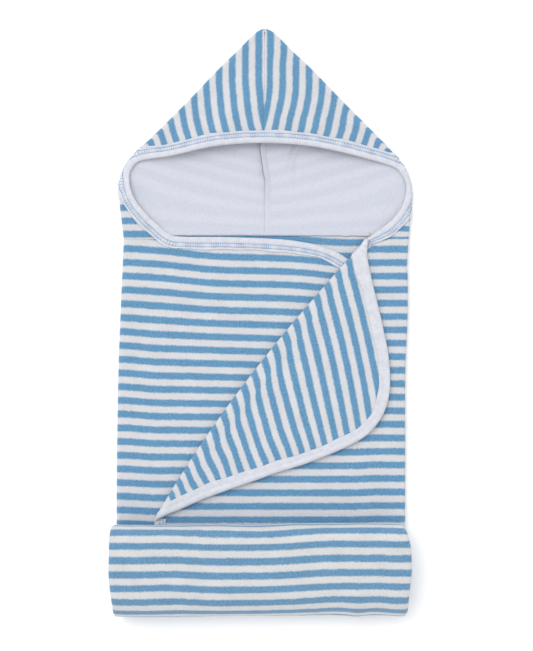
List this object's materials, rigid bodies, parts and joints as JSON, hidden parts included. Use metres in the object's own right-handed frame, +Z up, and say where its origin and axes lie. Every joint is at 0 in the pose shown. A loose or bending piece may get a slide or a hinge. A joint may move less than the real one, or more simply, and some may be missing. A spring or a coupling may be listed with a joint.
{
  "type": "hooded baby towel",
  "caption": "Striped terry baby towel with a pointed hood, laid flat with both sides folded in, one corner turned back as a lapel and the foot rolled up.",
  "frame": {"origin": "centre of the towel's footprint, on the surface that it lies on", "axes": "+Y from the rolled foot towards the peak of the hood, +X to the right seen from above, +Z up"},
  "size_m": [0.298, 0.5839, 0.0459],
  "materials": {
    "striped_terry": "soft knitted terry with blue and white stripes",
    "hood_lining": "pale brushed reverse of the knit",
    "jersey_binding": "white ribbed jersey",
    "thread": "light blue sewing thread"
  },
  "bodies": {
    "towel": {"back_panel": "striped_terry", "left_flap": "striped_terry", "left_flap_binding": "jersey_binding", "left_flap_stitches": "thread", "right_flap": "striped_terry", "right_flap_binding": "jersey_binding"},
    "hood": {"neck_seam_tape": "jersey_binding", "hood_back_left": "hood_lining", "hood_back_right": "hood_lining", "hood_seam_tape": "jersey_binding", "hood_front_left": "striped_terry", "hood_front_right": "striped_terry", "hood_binding": "jersey_binding", "hood_binding_stitches": "thread"},
    "lapel": {"lapel": "striped_terry", "lapel_binding": "jersey_binding", "lapel_stitches": "thread"},
    "foot": {"foot_turn": "striped_terry"},
    "roll": {"roll_outer_turn": "striped_terry", "roll_inner_turn": "striped_terry", "hem_binding": "jersey_binding"}
  },
  "joints": [
    {"name": "hood_fold", "type": "hinge", "parent": "towel", "child": "hood", "pos_m": [0, 0.0895, 0.0135], "axis": [1, 0, 0], "range_deg": [0, 180]},
    {"name": "lapel_fold", "type": "hinge", "parent": "towel", "child": "lapel", "pos_m": [-0.0035, -0.0565, 0.0096], "axis": [-0.6005, -0.7997, 0], "range_deg": [0, 180]},
    {"name": "foot_unroll", "type": "hinge", "parent": "towel", "child": "foot", "pos_m": [0, -0.292, 0], "axis": [1, 0, 0], "range_deg": [0, 90]},
    {"name": "roll_unroll", "type": "hinge", "parent": "foot", "child": "roll", "pos_m": [0, -0.292, 0.0459], "axis": [1, 0, 0], "range_deg": [0, 90]}
  ],
  "couplings": [
    {"joint": "roll_unroll", "follows": "foot_unroll", "ratio": 1}
  ]
}
